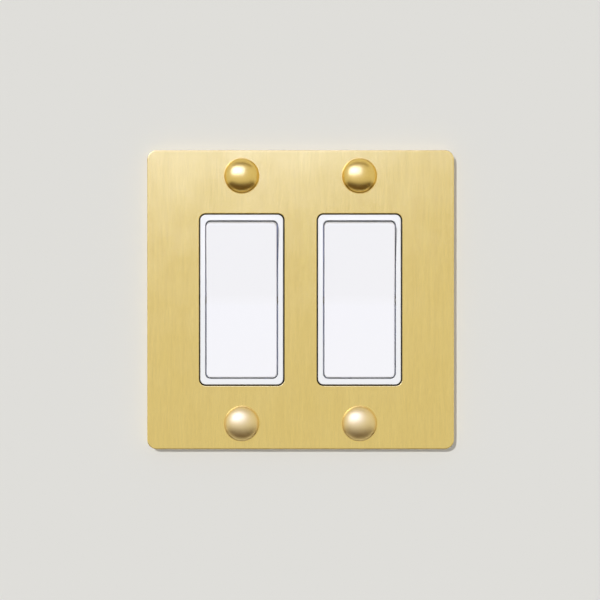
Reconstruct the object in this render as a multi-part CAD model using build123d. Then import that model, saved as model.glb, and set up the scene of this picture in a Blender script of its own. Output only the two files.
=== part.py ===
from build123d import *
from math import cos, radians, sin, sqrt, tan
import os

os.makedirs("parts", exist_ok=True)

# Two-gang rocker light switch. X right, Y into the wall, Z up, all in mm. The wall is the plane
# y = 0 and the origin is the centre of the plate's back. Each switch is built about x = 0.

# Wall plate. The pitches are those of standard wall boxes and set the scale of the photograph.
GANG_PITCH = 46.04
PLATE_SCREW_PITCH = 96.84
BOX_SCREW_OFFSET = 6.75
PLATE_SIDE = 36.98
PLATE_END = 10.08
PLATE_DEPTH = 5.5
PLATE_SKIN = 2.0
PLATE_RIM = 3.0
PLATE_CORNER_R = 3.7
PLATE_EDGE_R = 0.35
OPENING_W = 33.4
OPENING_H = 67.4
OPENING_R = 2.6
OPENING_EDGE_R = 0.25

# Plate screws with a smooth domed head
DOME_R = 6.85
DOME_BASE = 0.9
DOME_H = 4.7
SCREW_R = 1.75
DOME_SCREW_LENGTH = 13.0

# Fits
PLATE_GAP = 0.5
ROCKER_GAP = 0.45
TURNING_FIT = 0.05
SLIDING_FIT = 0.15
SCREW_FIT = 0.25
HOOK_FIT = 0.1
CONTACT_GAP = 0.1
STRAP_CLEAR = 0.22

# Bezel
BEZEL_PROUD = 0.5
BEZEL_SIDE = 2.0
BEZEL_END = 2.25
BEZEL_R = 2.2
BEZEL_EDGE_R = 0.35
TRUNNION_SOCKET = 1.3
HOOK_X = 8.0
HOOK_W = 6.0
HOOK_T = 1.15
HOOK_BITE = 0.3
LEDGE_H = 0.45
LEDGE_DEPTH = 3.2
BARB_LENGTH = 1.3

# Strap
STRAP_T = 1.3
STRAP_MARGIN = 0.3
STRAP_END = 4.58
STRAP_R = 2.0
STRAP_WINDOW_W = 24.5
STRAP_LAND = 2.65
BOX_SLOT_W = 7.0
BOX_SLOT_H = 4.0
NECK_CUT = 3.6
NECK_CUT_H = 2.4
NECK_CUT_OFFSET = 12.2
EAR_SLOT_X = 9.5
EAR_SLOT_L = 5.0
EAR_SLOT_W = 2.2
GROUND_TAB_OFFSET = 4.9
GROUND_TAB_W = 8.4
GROUND_TAB_DEPTH = 9.0

# Rocker: two flat faces that meet in a soft crease and swing about trunnions
SWING_DEG = 4.0
PIVOT_RISE = 2.1
ROCKER_PROUD = 0.2
ROCKER_SKIN = 1.6
ROCKER_SIDE = 1.4
ROCKER_END = 1.5
ROCKER_CORNER_R = 1.6
ROCKER_EDGE_R = 0.5
CREASE_R = 25.0
TRUNNION_R = 1.2
TRUNNION_L = 1.3
RIB_T = 1.0
RIB_H = 2.2
RIB_X = 5.2
RIB_Z = 14.0
POST_R = 3.5
POST_REACH = 8.5

# Spring plunger
PLUNGER_R = 2.15
PLUNGER_NOSE_R = 1.6
PLUNGER_REACH = 15.0
PLUNGER_BACK = 4.5
SPRING_WIRE_R = 0.25
SPRING_TURNS = 5
SPRING_FLOOR = -1.0

# Rocking contact on its blade
CONTACT_SWING_DEG = 8.0
STRIP_T = 1.0
STRIP_SET = 1.2
STRIP_HALF_L = 8.5
STRIP_W = 7.0
BLADE_T = 1.2
GROOVE_FIT = 0.06
CHEEK_T = 0.6
CHEEK_HALF_L = 1.9
CHEEK_DROP = 2.6
TIP_Z = 7.0
TIP_R = 1.6
TIP_CROWN_R = 2.5
TIP_DROP = 0.6
RIVET_R = 0.8

# Terminals
TERMINAL_T = 1.2
PAD_T = 1.0
PAD_W = 7.0
FIXED_TIP_R = 1.75
FIXED_TIP_T = 0.8
FOOT_DROP = 7.3
FOOT_H = 3.0
TERMINAL_Z = 13.0
TERMINAL_SCREW_Y = 10.0
TERMINAL_PLATE_HALF = 4.9
TERMINAL_HEAD_R = 3.7
TERMINAL_HEAD_H = 2.2
TERMINAL_SCREW_R = 1.9
TERMINAL_SCREW_L = 5.0
DRIVER_SLOT_W = 1.0
DRIVER_SLOT_DEPTH = 0.9

# Housing
HOUSING_WALL = 2.3
HOUSING_FLOOR = 2.0
HOUSING_R = 3.0
HOUSING_EDGE_R = 1.2
NICHE_HALF = 4.3
BOSS_R = 2.6
HOUSING_SCREW_R = 1.0
HOUSING_SCREW_L = 12.0
HOUSING_HEAD_R = 2.0
HOUSING_HEAD_H = 1.2
WIRE_HOLE_R = 1.2
REAR_PANEL_DEPTH = 0.4
CHANNEL_W = 4.0
CHANNEL_DEPTH = 1.4
GROOVE_PITCH = 5.0
GROOVE_W = 1.2
GROOVE_DEPTH = 0.4
GROOVES = 7

# Box screws and their washers
BOX_HEAD_R = 3.5
BOX_HEAD_CLEAR = 0.5
BOSS_CLEAR = 0.35
BOX_NECK_R = 1.5
BOX_SCREW_L = 18.0
WASHER_W = 8.0
WASHER_T = 0.9

# Derived positions
SWING = radians(SWING_DEG)
CONTACT_SWING = radians(CONTACT_SWING_DEG)
GANG_X = GANG_PITCH / 2
PLATE_SCREW_Z = PLATE_SCREW_PITCH / 2
BOX_SCREW_Z = PLATE_SCREW_Z - BOX_SCREW_OFFSET
PLATE_W = GANG_PITCH + 2 * PLATE_SIDE
PLATE_H = PLATE_SCREW_PITCH + 2 * PLATE_END
PLATE_BOSS_R = BOX_SCREW_OFFSET - BOX_HEAD_R - BOSS_CLEAR
BOX_HEAD_H = PLATE_DEPTH - PLATE_SKIN - STRAP_T - BOX_HEAD_CLEAR
STRAP_H = PLATE_SCREW_PITCH + 2 * STRAP_END
NECK_CUT_Z = PLATE_SCREW_Z - NECK_CUT_OFFSET
GROUND_TAB_Z = PLATE_SCREW_Z - GROUND_TAB_OFFSET
STRAP_FRONT = -STRAP_T
PLATE_FRONT = -PLATE_DEPTH
BEZEL_FRONT = PLATE_FRONT - BEZEL_PROUD
PIVOT_Y = STRAP_FRONT - PIVOT_RISE
CREASE_Y = BEZEL_FRONT - ROCKER_PROUD
FACE_ARM = (PIVOT_Y - CREASE_Y) * cos(SWING)
SKIRT = FACE_ARM + PIVOT_RISE - STRAP_CLEAR
BEZEL_W = OPENING_W - 2 * PLATE_GAP
BEZEL_H = OPENING_H - 2 * PLATE_GAP
STRAP_W = BEZEL_W + 2 * STRAP_MARGIN
WINDOW_W = BEZEL_W - 2 * BEZEL_SIDE
WINDOW_H = BEZEL_H - 2 * BEZEL_END
ROCKER_W = WINDOW_W - 2 * ROCKER_GAP
ROCKER_REACH = WINDOW_H / 2 - ROCKER_GAP
HOOK_IN = BEZEL_H / 2 - HOOK_T
LEDGE_OUT = HOOK_IN - HOOK_FIT
BORE_R = PLUNGER_R + SLIDING_FIT
FULCRUM_Y = PIVOT_Y + PLUNGER_REACH + CONTACT_GAP + STRIP_SET
TIP_CLOSED_Y = (FULCRUM_Y + (TIP_DROP - TIP_CROWN_R) * cos(CONTACT_SWING)
                + TIP_Z * sin(CONTACT_SWING) + TIP_CROWN_R)
TIP_CLOSED_Z = -((TIP_CROWN_R - TIP_DROP) * sin(CONTACT_SWING) + TIP_Z * cos(CONTACT_SWING))
FIXED_TIP_Y = TIP_CLOSED_Y + CONTACT_GAP
PAD_Y = FIXED_TIP_Y + FIXED_TIP_T
FOOT_Y = FULCRUM_Y + FOOT_DROP
HOUSING_W = BEZEL_W - 1.4
HOUSING_H = 2 * (LEDGE_OUT - LEDGE_H)
HOUSING_D = FOOT_Y + 2.3 + HOUSING_FLOOR
CAVITY_X = HOUSING_W / 2 - HOUSING_WALL
CAVITY_Z = HOUSING_H / 2 - HOUSING_WALL
FLOOR_Y = HOUSING_D - HOUSING_FLOOR
HOUSING_SCREW_X = ROCKER_W / 2 - ROCKER_SIDE - HOUSING_HEAD_R - 0.5
HOUSING_SCREW_Z = ROCKER_REACH - ROCKER_END - HOUSING_HEAD_R - 0.35
STRAP_WINDOW_H = 2 * (HOUSING_SCREW_Z - STRAP_LAND)


def slab(sketch, y0, y1):
    """Solid of a front-view sketch (x, z) between the depths y0 < y1."""
    return extrude(Plane.XZ.offset(-y1) * sketch, y1 - y0)


def side_slab(sketch, x0, x1):
    """Solid of a side-view sketch (y, z) between x0 < x1."""
    return extrude(Plane.YZ.offset(x0) * sketch, x1 - x0)


def block(x0, x1, y0, y1, z0, z1):
    """Box between two corners."""
    centre = Pos((x0 + x1) / 2, (y0 + y1) / 2, (z0 + z1) / 2)
    return centre * Box(x1 - x0, y1 - y0, z1 - z0)


def pin(x, z, r, y0, y1):
    """Round bar along Y."""
    return slab(Pos(x, z) * Circle(r), y0, y1)


def cross_pin(y, z, r, x0, x1):
    """Round bar along X."""
    return side_slab(Pos(y, z) * Circle(r), x0, x1)


def turned(points):
    """Solid of revolution about Y from points (radius, y)."""
    return revolve(make_face(Polyline(points, close=True)), Axis.Y)


def tilted(shape, y, degrees):
    """The shape turned about the X-parallel axis through (y, z = 0)."""
    return Pos(0, y, 0) * Rot(degrees, 0, 0) * Pos(0, -y, 0) * shape


def four(x, z):
    """The four positions (+-x, +-z)."""
    return [(sx * x, sz * z) for sx in (-1, 1) for sz in (-1, 1)]


def front_rim(shape):
    """Edges round the faces that look towards the front, without the seams between them."""
    faces = [f for f in shape.faces() if f.normal_at().Y < -0.8]
    edges = [e for f in faces for e in f.edges()]
    return [e for e in edges if sum(e.is_same(other) for other in edges) == 1]


def wall_plate():
    """Brushed plate with a raised skin, a hollow back and a boss behind each screw hole."""
    plate = slab(RectangleRounded(PLATE_W, PLATE_H, PLATE_CORNER_R), PLATE_FRONT, 0)
    plate = fillet(front_rim(plate), PLATE_EDGE_R)
    hollow_r = max(PLATE_CORNER_R - PLATE_RIM, 0.6)
    hollow = RectangleRounded(PLATE_W - 2 * PLATE_RIM, PLATE_H - 2 * PLATE_RIM, hollow_r)
    plate -= slab(hollow, PLATE_FRONT + PLATE_SKIN, 0)
    holes = four(GANG_X, PLATE_SCREW_Z)
    for x, z in holes:
        plate += pin(x, z, PLATE_BOSS_R, PLATE_FRONT + PLATE_SKIN, STRAP_FRONT)
    for x in (-GANG_X, GANG_X):
        opening = RectangleRounded(OPENING_W, OPENING_H, OPENING_R)
        plate -= slab(Pos(x, 0) * opening, PLATE_FRONT - 1, 1)
    inner = [w for f in plate.faces().sort_by(Axis.Y)[:1] for w in f.inner_wires()]
    plate = fillet([e for w in inner for e in w.edges()], OPENING_EDGE_R)
    for x, z in holes:
        plate -= pin(x, z, SCREW_R + SCREW_FIT, PLATE_FRONT - 1, 1)
    return plate


def dome_screw():
    """Plate screw with its head on the plate."""
    seat = PLATE_FRONT
    rim = seat - DOME_BASE
    end = seat + DOME_SCREW_LENGTH
    tip = seat - DOME_H
    dome = EllipticalCenterArc((0, rim), DOME_R, rim - tip, start_angle=270, arc_size=90)
    flank = Polyline([(DOME_R, rim), (DOME_R, seat - 0.2), (DOME_R - 0.2, seat), (SCREW_R, seat),
                      (SCREW_R, end - 0.6), (SCREW_R - 0.6, end), (0, end), (0, tip)])
    return revolve(make_face([dome, flank]), Axis.Y)


def strap():
    """Steel yoke: ears with the mounting holes, a window for the mechanism, a folded ground tab."""
    sketch = RectangleRounded(STRAP_W, STRAP_H, STRAP_R)
    sketch -= RectangleRounded(STRAP_WINDOW_W, STRAP_WINDOW_H, STRAP_R)
    notch_w = NECK_CUT * 2
    for sx, sz in four(1, 1):
        sketch -= Pos(sx * STRAP_W / 2, sz * NECK_CUT_Z) * SlotOverall(notch_w, NECK_CUT_H)
        sketch -= Pos(sx * HOUSING_SCREW_X, sz * HOUSING_SCREW_Z) * Circle(HOUSING_SCREW_R + 0.1)
        ear_slot = Rot(0, 0, 90) * SlotOverall(EAR_SLOT_L, EAR_SLOT_W)
        sketch -= Pos(sx * EAR_SLOT_X, sz * PLATE_SCREW_Z) * ear_slot
        hook_z = (HOOK_IN + BEZEL_H / 2) / 2
        sketch -= Pos(sx * HOOK_X, sz * hook_z) * Rectangle(HOOK_W + 0.3, HOOK_T + 0.3)
    for sz in (-1, 1):
        sketch -= Pos(0, sz * BOX_SCREW_Z) * SlotOverall(BOX_SLOT_W, BOX_SLOT_H)
        sketch -= Pos(0, sz * PLATE_SCREW_Z) * Circle(SCREW_R + TURNING_FIT)
    plate = slab(sketch, STRAP_FRONT, 0)
    side = -STRAP_W / 2
    half = GROUND_TAB_W / 2
    tab = block(side, side + STRAP_T, STRAP_FRONT, GROUND_TAB_DEPTH, -GROUND_TAB_Z - half,
                -GROUND_TAB_Z + half)
    tab = fillet(tab.edges().filter_by(Axis.X).sort_by(Axis.Y)[-2:], 2.0)
    hole_y = GROUND_TAB_DEPTH / 2
    return plate + tab - cross_pin(hole_y, -GROUND_TAB_Z, SCREW_R + TURNING_FIT, side - 1, side + 3)


def bezel():
    """Frame round the rocker, with blind sockets for its trunnions and four hooks."""
    frame = slab(RectangleRounded(BEZEL_W, BEZEL_H, BEZEL_R), BEZEL_FRONT, STRAP_FRONT)
    frame -= slab(RectangleRounded(WINDOW_W, WINDOW_H, ROCKER_CORNER_R + ROCKER_GAP),
                  BEZEL_FRONT - 1, 1)
    frame = fillet(front_rim(frame), BEZEL_EDGE_R)
    socket_r = TRUNNION_R + TURNING_FIT
    socket = Pos(PIVOT_Y, 0) * Circle(socket_r)
    socket += Pos((PIVOT_Y + 1) / 2, 0) * Rectangle(1 - PIVOT_Y, 2 * socket_r)
    half = WINDOW_W / 2
    frame -= side_slab(socket, -half - TRUNNION_SOCKET, half + TRUNNION_SOCKET)
    catch = LEDGE_DEPTH + HOOK_FIT
    end = catch + BARB_LENGTH
    bite = LEDGE_OUT - HOOK_BITE
    hook = make_face(Polyline([(STRAP_FRONT, HOOK_IN), (catch, HOOK_IN), (catch, bite),
                               (catch + 0.3, bite), (end, HOOK_IN + 0.2), (end, BEZEL_H / 2),
                               (STRAP_FRONT, BEZEL_H / 2)], close=True))
    for sx in (-1, 1):
        arm = side_slab(hook, sx * HOOK_X - HOOK_W / 2, sx * HOOK_X + HOOK_W / 2)
        frame += arm
        frame += mirror(arm, Plane.XY)
    return frame


def rocker_band(front, back, end_r):
    """Side profile of the rocker in mid swing, between two depths below its faces."""
    y0 = CREASE_Y + front / cos(SWING)
    y1 = CREASE_Y + back / cos(SWING)
    reach = end_r + 5
    drop = reach * tan(SWING)
    band = make_face(Polyline([(y0, 0), (y0 - drop, reach), (y1 - drop, reach), (y1, 0),
                               (y1 - drop, -reach), (y0 - drop, -reach)], close=True))
    band = fillet(band.vertices().sort_by_distance((y0, 0, 0))[0], CREASE_R)
    return band & Pos(PIVOT_Y, 0) * Circle(end_r)


def rocker_body():
    """Outside of the rocker: rounded corners at its ends and a softened front rim."""
    half = ROCKER_W / 2
    body = side_slab(rocker_band(0, SKIRT, ROCKER_REACH), -half, half)
    ends = [e for e in body.edges() if e.geom_type == GeomType.CIRCLE
            and abs(e.center().Z) > ROCKER_REACH - 3]
    body = fillet(ends, ROCKER_CORNER_R)
    return fillet(front_rim(body), ROCKER_EDGE_R)


def rocker():
    """Hollow rocker with trunnions, ribs and the post that holds the spring plunger."""
    inside_r = ROCKER_REACH - ROCKER_END
    inside_x = ROCKER_W / 2 - ROCKER_SIDE
    body = rocker_body()
    body -= side_slab(rocker_band(ROCKER_SKIN, SKIRT + 5, inside_r), -inside_x, inside_x)
    long_rib = rocker_band(ROCKER_SKIN - 0.3, ROCKER_SKIN + RIB_H, inside_r + 0.3)
    for x in (-RIB_X, RIB_X):
        body += side_slab(long_rib, x - RIB_T / 2, x + RIB_T / 2)
    cross = side_slab(long_rib, -inside_x - 0.3, inside_x + 0.3)
    for z in (-RIB_Z, RIB_Z):
        body += cross & block(-50, 50, -50, 50, z - RIB_T / 2, z + RIB_T / 2)
    body += pin(0, 0, POST_R, CREASE_Y + ROCKER_SKIN - 0.3, PIVOT_Y + POST_REACH)
    for side in (-1, 1):
        x0, x1 = sorted((side * inside_x, side * (ROCKER_W / 2 + TRUNNION_L)))
        body += cross_pin(PIVOT_Y, 0, TRUNNION_R, x0, x1)
    body -= pin(0, 0, BORE_R, PIVOT_Y + SPRING_FLOOR, PIVOT_Y + POST_REACH + 1)
    return tilted(body, PIVOT_Y, SWING_DEG)


def plunger():
    """Nylon plunger with a round nose, guided by the rocker's post."""
    nose_y = PIVOT_Y + PLUNGER_REACH - PLUNGER_NOSE_R
    back = PIVOT_Y + PLUNGER_BACK
    shank = nose_y - 3.0
    nose = CenterArc((0, nose_y), PLUNGER_NOSE_R, 0, 90)
    flank = Polyline([(0, nose_y + PLUNGER_NOSE_R), (0, back), (PLUNGER_R - 0.3, back),
                      (PLUNGER_R, back + 0.3), (PLUNGER_R, shank),
                      (PLUNGER_NOSE_R, shank + 1.6), (PLUNGER_NOSE_R, nose_y)])
    return tilted(revolve(make_face([nose, flank]), Axis.Y), PIVOT_Y, SWING_DEG)


def plunger_spring():
    """Coil between the bottom of the bore and the plunger."""
    coil_r = PLUNGER_R - 0.2 - SPRING_WIRE_R
    length = PLUNGER_BACK - SPRING_FLOOR - 2 * SPRING_WIRE_R - 0.04
    path = Helix(length / SPRING_TURNS, length, coil_r)
    start = Plane(path @ 0, z_dir=path % 0)
    coil = sweep(start * Circle(SPRING_WIRE_R), path=path, is_frenet=True)
    foot = PIVOT_Y + SPRING_FLOOR + SPRING_WIRE_R + 0.02
    return tilted(Pos(0, foot, 0) * Rot(-90, 0, 0) * coil, PIVOT_Y, SWING_DEG)


def rocking_contact():
    """Brass seesaw, grooved for the blade, with cheeks that keep it in place."""
    y0 = FULCRUM_Y - STRIP_SET
    y1 = y0 + STRIP_T
    groove_r = BLADE_T / 2 + GROOVE_FIT
    strip = slab(RectangleRounded(STRIP_W, 2 * STRIP_HALF_L, 2.0), y0, y1)
    half = STRIP_W / 2
    cheek = make_face(Polyline([(y0, -CHEEK_HALF_L), (y0, CHEEK_HALF_L), (y1 + 0.2, CHEEK_HALF_L),
                                (y0 + CHEEK_DROP, CHEEK_HALF_L / 2),
                                (y0 + CHEEK_DROP, -CHEEK_HALF_L / 2), (y1 + 0.2, -CHEEK_HALF_L)],
                               close=True))
    for x0 in (-half - CHEEK_T, half):
        strip += side_slab(cheek, x0, x0 + CHEEK_T)
    strip -= cross_pin(FULCRUM_Y, 0, groove_r, -half, half)
    strip -= pin(0, -TIP_Z, RIVET_R + 0.03, y0 - 1, y1 + 1)
    return tilted(strip, FULCRUM_Y, -CONTACT_SWING_DEG)


def moving_contact_tip():
    """Silver rivet with a crowned face, closed into the rocking contact."""
    back = FULCRUM_Y - STRIP_SET + STRIP_T
    front = FULCRUM_Y - STRIP_SET
    crown = FULCRUM_Y + TIP_DROP
    drop = TIP_CROWN_R - sqrt(TIP_CROWN_R ** 2 - TIP_R ** 2)
    mid = (TIP_CROWN_R * sin(0.3), crown - TIP_CROWN_R * (1 - cos(0.3)))
    face = ThreePointArc((TIP_R, crown - drop), mid, (0, crown))
    rest = Polyline([(0, crown), (0, front - 0.3), (RIVET_R + 0.4, front - 0.3),
                     (RIVET_R + 0.4, front), (RIVET_R, front), (RIVET_R, back), (TIP_R, back),
                     (TIP_R, crown - drop)])
    rivet = Pos(0, 0, -TIP_Z) * revolve(make_face([face, rest]), Axis.Y)
    return tilted(rivet, FULCRUM_Y, -CONTACT_SWING_DEG)


def screw_plate(sign, y_end):
    """Side plate of a terminal behind its niche, with the screw hole left for later."""
    z0, z1 = sorted((sign * (TERMINAL_Z - TERMINAL_PLATE_HALF), sign * (TERMINAL_Z + TERMINAL_PLATE_HALF)))
    top = TERMINAL_SCREW_Y - TERMINAL_PLATE_HALF
    plate = block(CAVITY_X - TERMINAL_T, CAVITY_X, top, y_end, z0, z1)
    return fillet(plate.edges().filter_by(Axis.X).sort_by(Axis.Y)[:2], 1.2)


def screw_hole(sign):
    """Cutter for the hole of a terminal's screw."""
    return cross_pin(TERMINAL_SCREW_Y, sign * TERMINAL_Z, TERMINAL_SCREW_R + TURNING_FIT,
                     CAVITY_X - TERMINAL_T - 1, CAVITY_X + 1)


def common_terminal():
    """Blade that the contact rocks on, bent round to the plate of the upper screw."""
    half_t = BLADE_T / 2
    half_w = STRIP_W / 2 - 0.1
    blade = block(-half_w, half_w, FULCRUM_Y, FOOT_Y, -half_t, half_t)
    blade += cross_pin(FULCRUM_Y, 0, half_t, -half_w, half_w)
    arm = block(-half_w, CAVITY_X, FOOT_Y - FOOT_H, FOOT_Y, -half_t, half_t)
    arm += block(CAVITY_X - TERMINAL_T, CAVITY_X, FOOT_Y - FOOT_H, FOOT_Y, -half_t, TERMINAL_Z)
    return blade + arm + screw_plate(1, FOOT_Y) - screw_hole(1)


def fixed_terminal():
    """Bracket that carries the fixed contact, with the plate of the lower screw."""
    z0 = TIP_CLOSED_Z + PAD_W / 2 - 1.2
    pad = block(-FIXED_TIP_R - 1, CAVITY_X, PAD_Y, PAD_Y + PAD_T, z0 - PAD_W, z0)
    pad = fillet(pad.edges().filter_by(Axis.Y).sort_by(Axis.X)[:2], 1.5)
    pad += screw_plate(-1, PAD_Y + PAD_T)
    pad -= pin(0, TIP_CLOSED_Z, RIVET_R + 0.03, PAD_Y - 1, PAD_Y + PAD_T + 1)
    return pad - screw_hole(-1)


def fixed_contact_tip():
    """Silver rivet that the moving tip closes on."""
    points = [(0, FIXED_TIP_Y), (FIXED_TIP_R - 0.2, FIXED_TIP_Y), (FIXED_TIP_R, FIXED_TIP_Y + 0.2),
              (FIXED_TIP_R, PAD_Y), (RIVET_R, PAD_Y), (RIVET_R, PAD_Y + PAD_T), (0, PAD_Y + PAD_T)]
    return Pos(0, 0, TIP_CLOSED_Z) * turned(points)


def side_screw(x, y, z, head_r, head_h, r, length):
    """Screw that enters towards -X with its head seated at x, slotted for a driver."""
    screw = cross_pin(y, z, head_r, x, x + head_h)
    screw = fillet(screw.edges().sort_by(Axis.X)[-1], 0.3)
    screw -= block(x + head_h - DRIVER_SLOT_DEPTH, x + head_h + 1, y - head_r - 1, y + head_r + 1,
                   z - DRIVER_SLOT_W / 2, z + DRIVER_SLOT_W / 2)
    return screw + cross_pin(y, z, r, x - length, x)


def terminal_screws():
    """One screw in each terminal of a switch."""
    return [side_screw(CAVITY_X, TERMINAL_SCREW_Y, sign * TERMINAL_Z, TERMINAL_HEAD_R,
                       TERMINAL_HEAD_H, TERMINAL_SCREW_R, TERMINAL_SCREW_L) for sign in (-1, 1)]


def ground_screw():
    """Hexagonal ground screw in the strap's tab, entering towards +X."""
    side = -STRAP_W / 2
    y = GROUND_TAB_DEPTH / 2
    hexagon = Pos(y, -GROUND_TAB_Z) * RegularPolygon(TERMINAL_HEAD_R, 6)
    head = side_slab(hexagon, side - TERMINAL_HEAD_H, side)
    head &= cross_pin(y, -GROUND_TAB_Z, TERMINAL_HEAD_R - 0.15, side - TERMINAL_HEAD_H, side)
    head -= block(side - TERMINAL_HEAD_H - 1, side - TERMINAL_HEAD_H + DRIVER_SLOT_DEPTH, y - 9, y + 9,
                  -GROUND_TAB_Z - DRIVER_SLOT_W / 2, -GROUND_TAB_Z + DRIVER_SLOT_W / 2)
    return head + cross_pin(y, -GROUND_TAB_Z, SCREW_R, side, side + 6)


def housing_screws():
    """Four pan heads that hold the housing to the strap."""
    seat = STRAP_FRONT
    hole = HOUSING_HEAD_R / 2.4
    screws = []
    for x, z in four(HOUSING_SCREW_X, HOUSING_SCREW_Z):
        head = pin(x, z, HOUSING_HEAD_R, seat - HOUSING_HEAD_H, seat)
        head = fillet(head.edges().sort_by(Axis.Y)[0], 0.35)
        cross = Pos(x, z) * (Rectangle(2 * hole, 0.5) + Rectangle(0.5, 2 * hole))
        head -= slab(cross, seat - HOUSING_HEAD_H - 1, seat - HOUSING_HEAD_H / 2)
        screws.append(head + pin(x, z, HOUSING_SCREW_R, seat, HOUSING_SCREW_L))
    return screws


def terminal_seats():
    """Ribs and blocks inside the housing that carry the terminals and stop the contact."""
    slot_wall = 1.5
    half_t = BLADE_T / 2
    blade_x = STRIP_W / 2 + 1
    seats = block(-blade_x, blade_x, FOOT_Y - FOOT_H, FLOOR_Y, -half_t - slot_wall, half_t + slot_wall)
    seats -= block(-50, 50, FOOT_Y - FOOT_H - 1, FOOT_Y, -half_t - 0.02, half_t + 0.02)
    seats += block(-3, CAVITY_X - 4, PAD_Y + PAD_T, FLOOR_Y, TIP_CLOSED_Z - 3, TIP_CLOSED_Z + 1.5)
    rib_x = CAVITY_X - TERMINAL_T
    top = TERMINAL_SCREW_Y - TERMINAL_PLATE_HALF + 1.5
    outer = TERMINAL_Z + TERMINAL_SCREW_R + 0.6
    for z0 in (outer, -outer - 1.4, TERMINAL_Z - TERMINAL_SCREW_R - 2):
        seats += block(rib_x - 1.4, rib_x, top, FLOOR_Y, z0, z0 + 1.4)
    z_far = STRIP_HALF_L - 1
    rest_y = FULCRUM_Y - (STRIP_SET - STRIP_T) * cos(CONTACT_SWING) + z_far * tan(CONTACT_SWING)
    return seats + block(-2, 2, rest_y + CONTACT_GAP, FLOOR_Y, z_far - 1.5, z_far)


def rear_cuts():
    """Cutters for the wiring side: panel, gauge groove, push-in holes, release slots, side grooves."""
    back = HOUSING_D
    cuts = [slab(RectangleRounded(HOUSING_W - 9, HOUSING_H * 0.4, 1.5), back - REAR_PANEL_DEPTH, back + 1)]
    cuts.append(slab(Pos(-HOUSING_W / 4, 0) * SlotOverall(10, 1), back - 2 * REAR_PANEL_DEPTH, back + 1))
    hole_x = CAVITY_X - TERMINAL_T - 3
    for sz in (-1, 1):
        z = sz * TERMINAL_Z * 1.6
        cuts.append(pin(hole_x, z, WIRE_HOLE_R, FLOOR_Y - 1, back + 1))
        cuts.append(Pos(hole_x, back - 0.4, z) * Rot(90, 0, 0) * Cone(WIRE_HOLE_R + 0.8, WIRE_HOLE_R, 0.8))
        cuts.append(slab(Pos(hole_x - 5, z) * Rectangle(1.2, 3), FLOOR_Y - 1, back + 1))
        z = sz * TERMINAL_Z
        cuts.append(block(HOUSING_W / 2 - CHANNEL_DEPTH, HOUSING_W, TERMINAL_SCREW_Y, back + 1,
                          z - CHANNEL_W / 2, z + CHANNEL_W / 2))
    side = -HOUSING_W / 2
    for i in range(GROOVES):
        z = (i - (GROOVES - 1) / 2) * GROOVE_PITCH
        cuts.append(block(side - 1, side + GROOVE_DEPTH, 4, back - 4, z - GROOVE_W / 2, z + GROOVE_W / 2))
    return cuts


def housing():
    """Moulded box behind the strap, open at the front, with niches for the terminal screws."""
    box = slab(RectangleRounded(HOUSING_W, HOUSING_H, HOUSING_R), 0, HOUSING_D)
    box = fillet(box.faces().sort_by(Axis.Y)[-1].edges(), HOUSING_EDGE_R)
    cavity = RectangleRounded(2 * CAVITY_X, 2 * CAVITY_Z, HOUSING_R / 2)
    box -= slab(cavity, -1, FLOOR_Y)
    for x, z in four(HOUSING_SCREW_X, HOUSING_SCREW_Z):
        box += pin(x, z, BOSS_R, 0, FLOOR_Y + 0.5)
        x0, x1 = sorted((x, (CAVITY_X + 0.3) * (1 if x > 0 else -1)))
        box += block(x0, x1, 0, FLOOR_Y + 0.5, z - 0.7, z + 0.7)
        box -= pin(x, z, HOUSING_SCREW_R + TURNING_FIT, -1, HOUSING_SCREW_L + 1)
    box += terminal_seats()
    box -= rear_cuts()
    for z in (-TERMINAL_Z, TERMINAL_Z):
        box -= block(CAVITY_X, HOUSING_W, TERMINAL_SCREW_Y - NICHE_HALF, TERMINAL_SCREW_Y + NICHE_HALF,
                     z - NICHE_HALF, z + NICHE_HALF)
    for sx, sz in four(1, 1):
        z0, z1 = sorted((sz * (HOUSING_H / 2 - 0.3), sz * LEDGE_OUT))
        x0 = sx * HOOK_X - HOOK_W / 2
        box += block(x0, x0 + HOOK_W, 0, LEDGE_DEPTH, z0, z1)
    return box


def box_screw():
    """Captive screw for the wall box: the neck passes the strap, the thread starts behind it."""
    seat = STRAP_FRONT
    neck_end = WASHER_T + 0.1
    head = pin(0, 0, BOX_HEAD_R, seat - BOX_HEAD_H, seat)
    head = fillet(head.edges().sort_by(Axis.Y)[0], 0.5)
    head -= block(-9, 9, seat - BOX_HEAD_H - 1, seat - BOX_HEAD_H + DRIVER_SLOT_DEPTH,
                  -DRIVER_SLOT_W / 2, DRIVER_SLOT_W / 2)
    head += pin(0, 0, BOX_NECK_R, seat, neck_end)
    tip = pin(0, 0, SCREW_R, neck_end, BOX_SCREW_L)
    return head + chamfer(tip.edges().sort_by(Axis.Y)[-1], 0.5)


def washer():
    """Fibre square that keeps a box screw in its slot."""
    return slab(RectangleRounded(WASHER_W, WASHER_W, 0.6) - Circle(BOX_NECK_R + TURNING_FIT), 0, WASHER_T)


def save(name, *shapes):
    """Writes a node from the solids of the given shapes."""
    solids = [s for shape in shapes for s in shape.solids()]
    export_step(solids[0] if len(solids) == 1 else Compound(solids), f"parts/{name}.step")


SWITCH = {
    "strap": strap, "bezel": bezel, "rocker": rocker, "plunger": plunger,
    "plunger_spring": plunger_spring, "rocking_contact": rocking_contact,
    "moving_contact_tip": moving_contact_tip, "common_terminal": common_terminal,
    "fixed_terminal": fixed_terminal, "fixed_contact_tip": fixed_contact_tip,
    "terminal_screws": terminal_screws, "ground_screw": ground_screw,
    "housing_screws": housing_screws, "housing": housing,
}

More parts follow.
